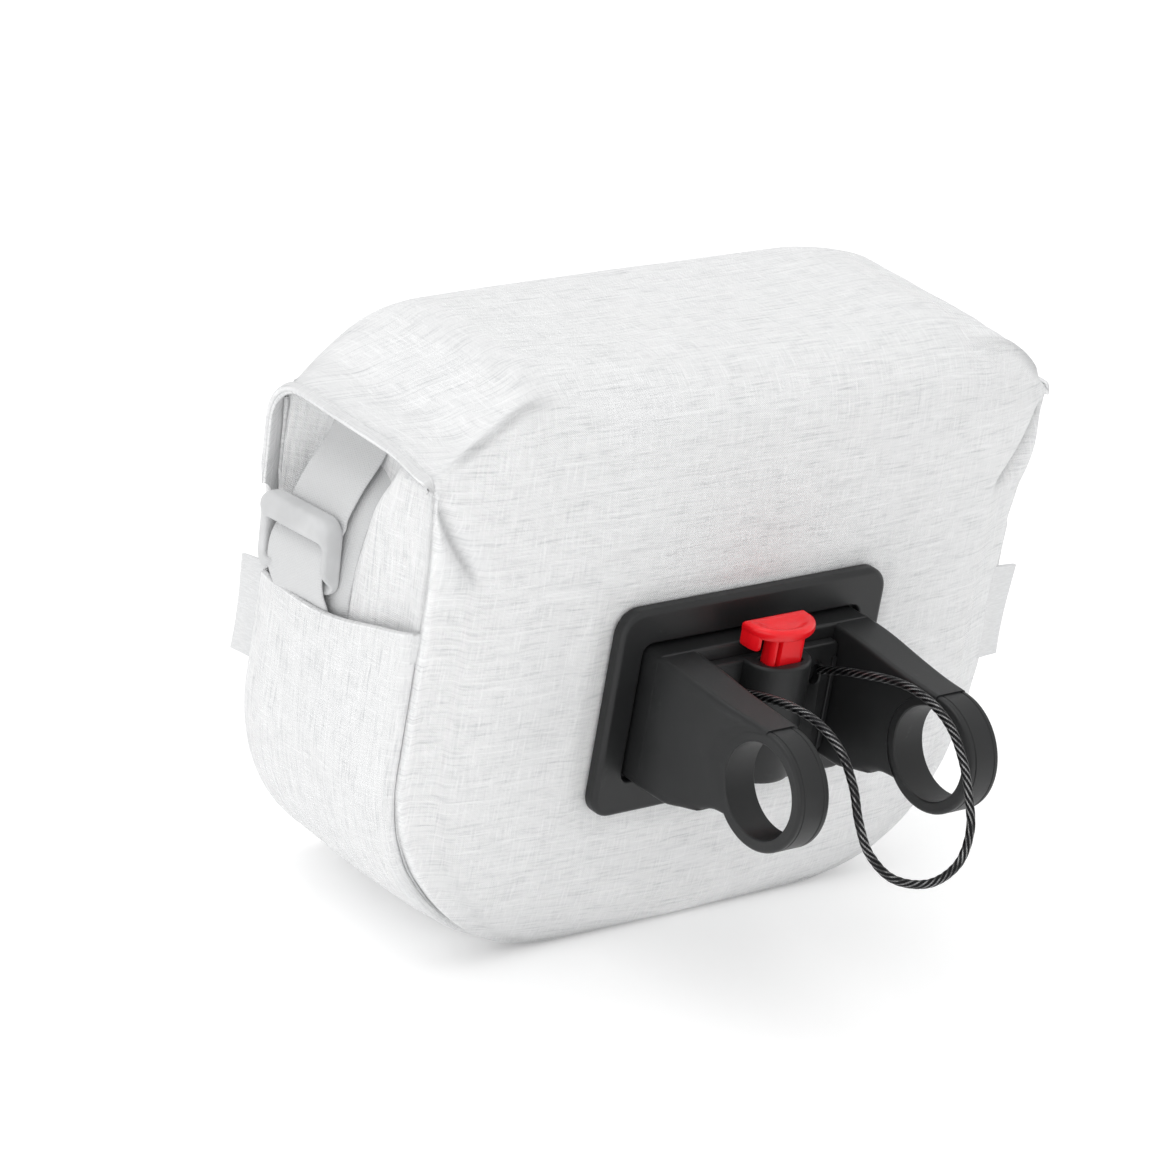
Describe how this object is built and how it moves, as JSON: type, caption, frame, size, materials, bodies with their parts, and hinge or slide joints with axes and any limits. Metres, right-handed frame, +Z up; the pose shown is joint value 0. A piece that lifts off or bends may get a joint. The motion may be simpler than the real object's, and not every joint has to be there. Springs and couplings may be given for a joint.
{
  "type": "bicycle handlebar bag with quick-release bracket",
  "caption": "Pale fabric handlebar bag with a flap lid held by a strap and buckle at each end, a black plate and clamp bracket behind it, a red release button and a steel stay cable.",
  "frame": {"origin": "middle of the bag's flat bottom, on the surface that it stands on", "axes": "+X to the rider's right along the bar, +Y forward, away from the rider, +Z up"},
  "size_m": [0.2803, 0.2128, 0.206],
  "materials": {
    "bag_cloth": "pale grey heathered woven cloth",
    "webbing": "mid grey flat webbing",
    "buckle_plastic": "satin grey moulded plastic",
    "label_cloth": "smooth grey woven tape",
    "black_plastic": "satin black glass-filled plastic",
    "red_plastic": "bright red gloss plastic",
    "braided_steel": "stranded steel cable"
  },
  "bodies": {
    "bag": {"bag_body": "bag_cloth", "lid": "bag_cloth", "side_pocket_left": "bag_cloth", "side_pocket_right": "bag_cloth", "strap_left": "webbing", "strap_right": "webbing", "strap_tail_left": "webbing", "strap_tail_right": "webbing", "buckle_left": "buckle_plastic", "buckle_right": "buckle_plastic", "label_left": "label_cloth", "label_right": "label_cloth", "mount_plate": "black_plastic", "bracket": "black_plastic", "latch_tower": "black_plastic", "clamp_collar_left": "black_plastic", "clamp_collar_right": "black_plastic", "stay_cable": "braided_steel"},
    "button": {"release_button": "red_plastic"}
  },
  "joints": [
    {"name": "button_press", "type": "slide", "parent": "bag", "child": "button", "axis": [0, 0, -1], "range_m": [0, 0.004], "stiffness_N_per_m": 1500}
  ]
}
